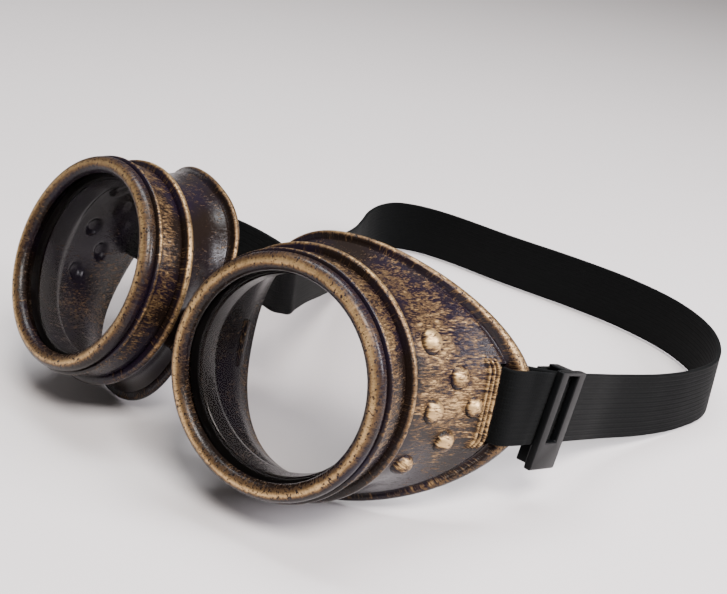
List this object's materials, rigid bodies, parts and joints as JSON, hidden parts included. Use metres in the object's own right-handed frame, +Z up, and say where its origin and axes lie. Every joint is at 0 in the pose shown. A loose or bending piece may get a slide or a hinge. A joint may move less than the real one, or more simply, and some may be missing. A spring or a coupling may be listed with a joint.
{
  "type": "welding goggles",
  "caption": "Round two-cup safety goggles with screw-on lens rings, clear lenses, embossed temple wings, a short bridge strip and an adjustable elastic head strap.",
  "frame": {"origin": "middle of the bounding box's bottom face: the table that the goggles lie on", "axes": "+Z up, the lenses face -Y, +X is the wearer's left, the strap's loop lies towards +Y"},
  "size_m": [0.1626, 0.213, 0.071],
  "materials": {
    "cup_shell": "moulded dark plastic dry-brushed with antique brass paint",
    "ring_shell": "moulded dark plastic with worn antique brass paint, speckled front bead",
    "lens": "clear, polished, faint smoke tint",
    "gasket": "matt black",
    "stud": "dull brass",
    "bridge": "soft black plastic",
    "elastic": "woven black elastic, fine ribs along its length",
    "slider": "satin black"
  },
  "bodies": {
    "left_cup": {"left_eyecup": "cup_shell", "left_bridge_stud": "stud", "bridge_strap": "bridge", "head_strap": "elastic", "strap_tail": "elastic"},
    "right_cup": {"right_eyecup": "cup_shell", "right_bridge_stud": "stud"},
    "left_lens_pack": {"left_lens": "lens", "left_lens_gasket": "gasket"},
    "left_ring": {"left_lens_ring": "ring_shell"},
    "right_lens_pack": {"right_lens": "lens", "right_lens_gasket": "gasket"},
    "right_ring": {"right_lens_ring": "ring_shell"},
    "slider": {"strap_slider": "slider"}
  },
  "joints": [
    {"name": "bridge_fold", "type": "hinge", "parent": "left_cup", "child": "right_cup", "pos_m": [-0.0021, -0.0798, 0.031], "axis": [0, 0, 1], "range_deg": [-45, 25], "deforming": ["bridge_strap", "head_strap"]},
    {"name": "left_lens_lift", "type": "slide", "parent": "left_cup", "child": "left_lens_pack", "axis": [0.1657, -0.9594, 0.2284], "range_m": [0, 0.006]},
    {"name": "left_ring_unscrew", "type": "hinge", "parent": "left_lens_pack", "child": "left_ring", "pos_m": [0.0375, -0.0956, 0.04076], "axis": [0.1657, -0.9594, 0.2284], "range_deg": [0, 719]},
    {"name": "right_lens_lift", "type": "slide", "parent": "right_cup", "child": "right_lens_pack", "axis": [-0.1034, -0.9221, 0.373], "range_m": [0, 0.006]},
    {"name": "right_ring_unscrew", "type": "hinge", "parent": "right_lens_pack", "child": "right_ring", "pos_m": [-0.0395, -0.0956, 0.04386], "axis": [-0.1034, -0.9221, 0.373], "range_deg": [0, 719]},
    {"name": "slider_slide", "type": "slide", "parent": "left_cup", "child": "slider", "axis": [-0.03, 0.9564, -0.2904], "range_m": [-0.001, 0.028], "deforming": ["strap_tail", "head_strap"]}
  ],
  "couplings": [
    {"joint": "left_lens_lift", "follows": "left_ring_unscrew", "m_per_rad": 0.00047746},
    {"joint": "right_lens_lift", "follows": "right_ring_unscrew", "m_per_rad": 0.00047746}
  ]
}
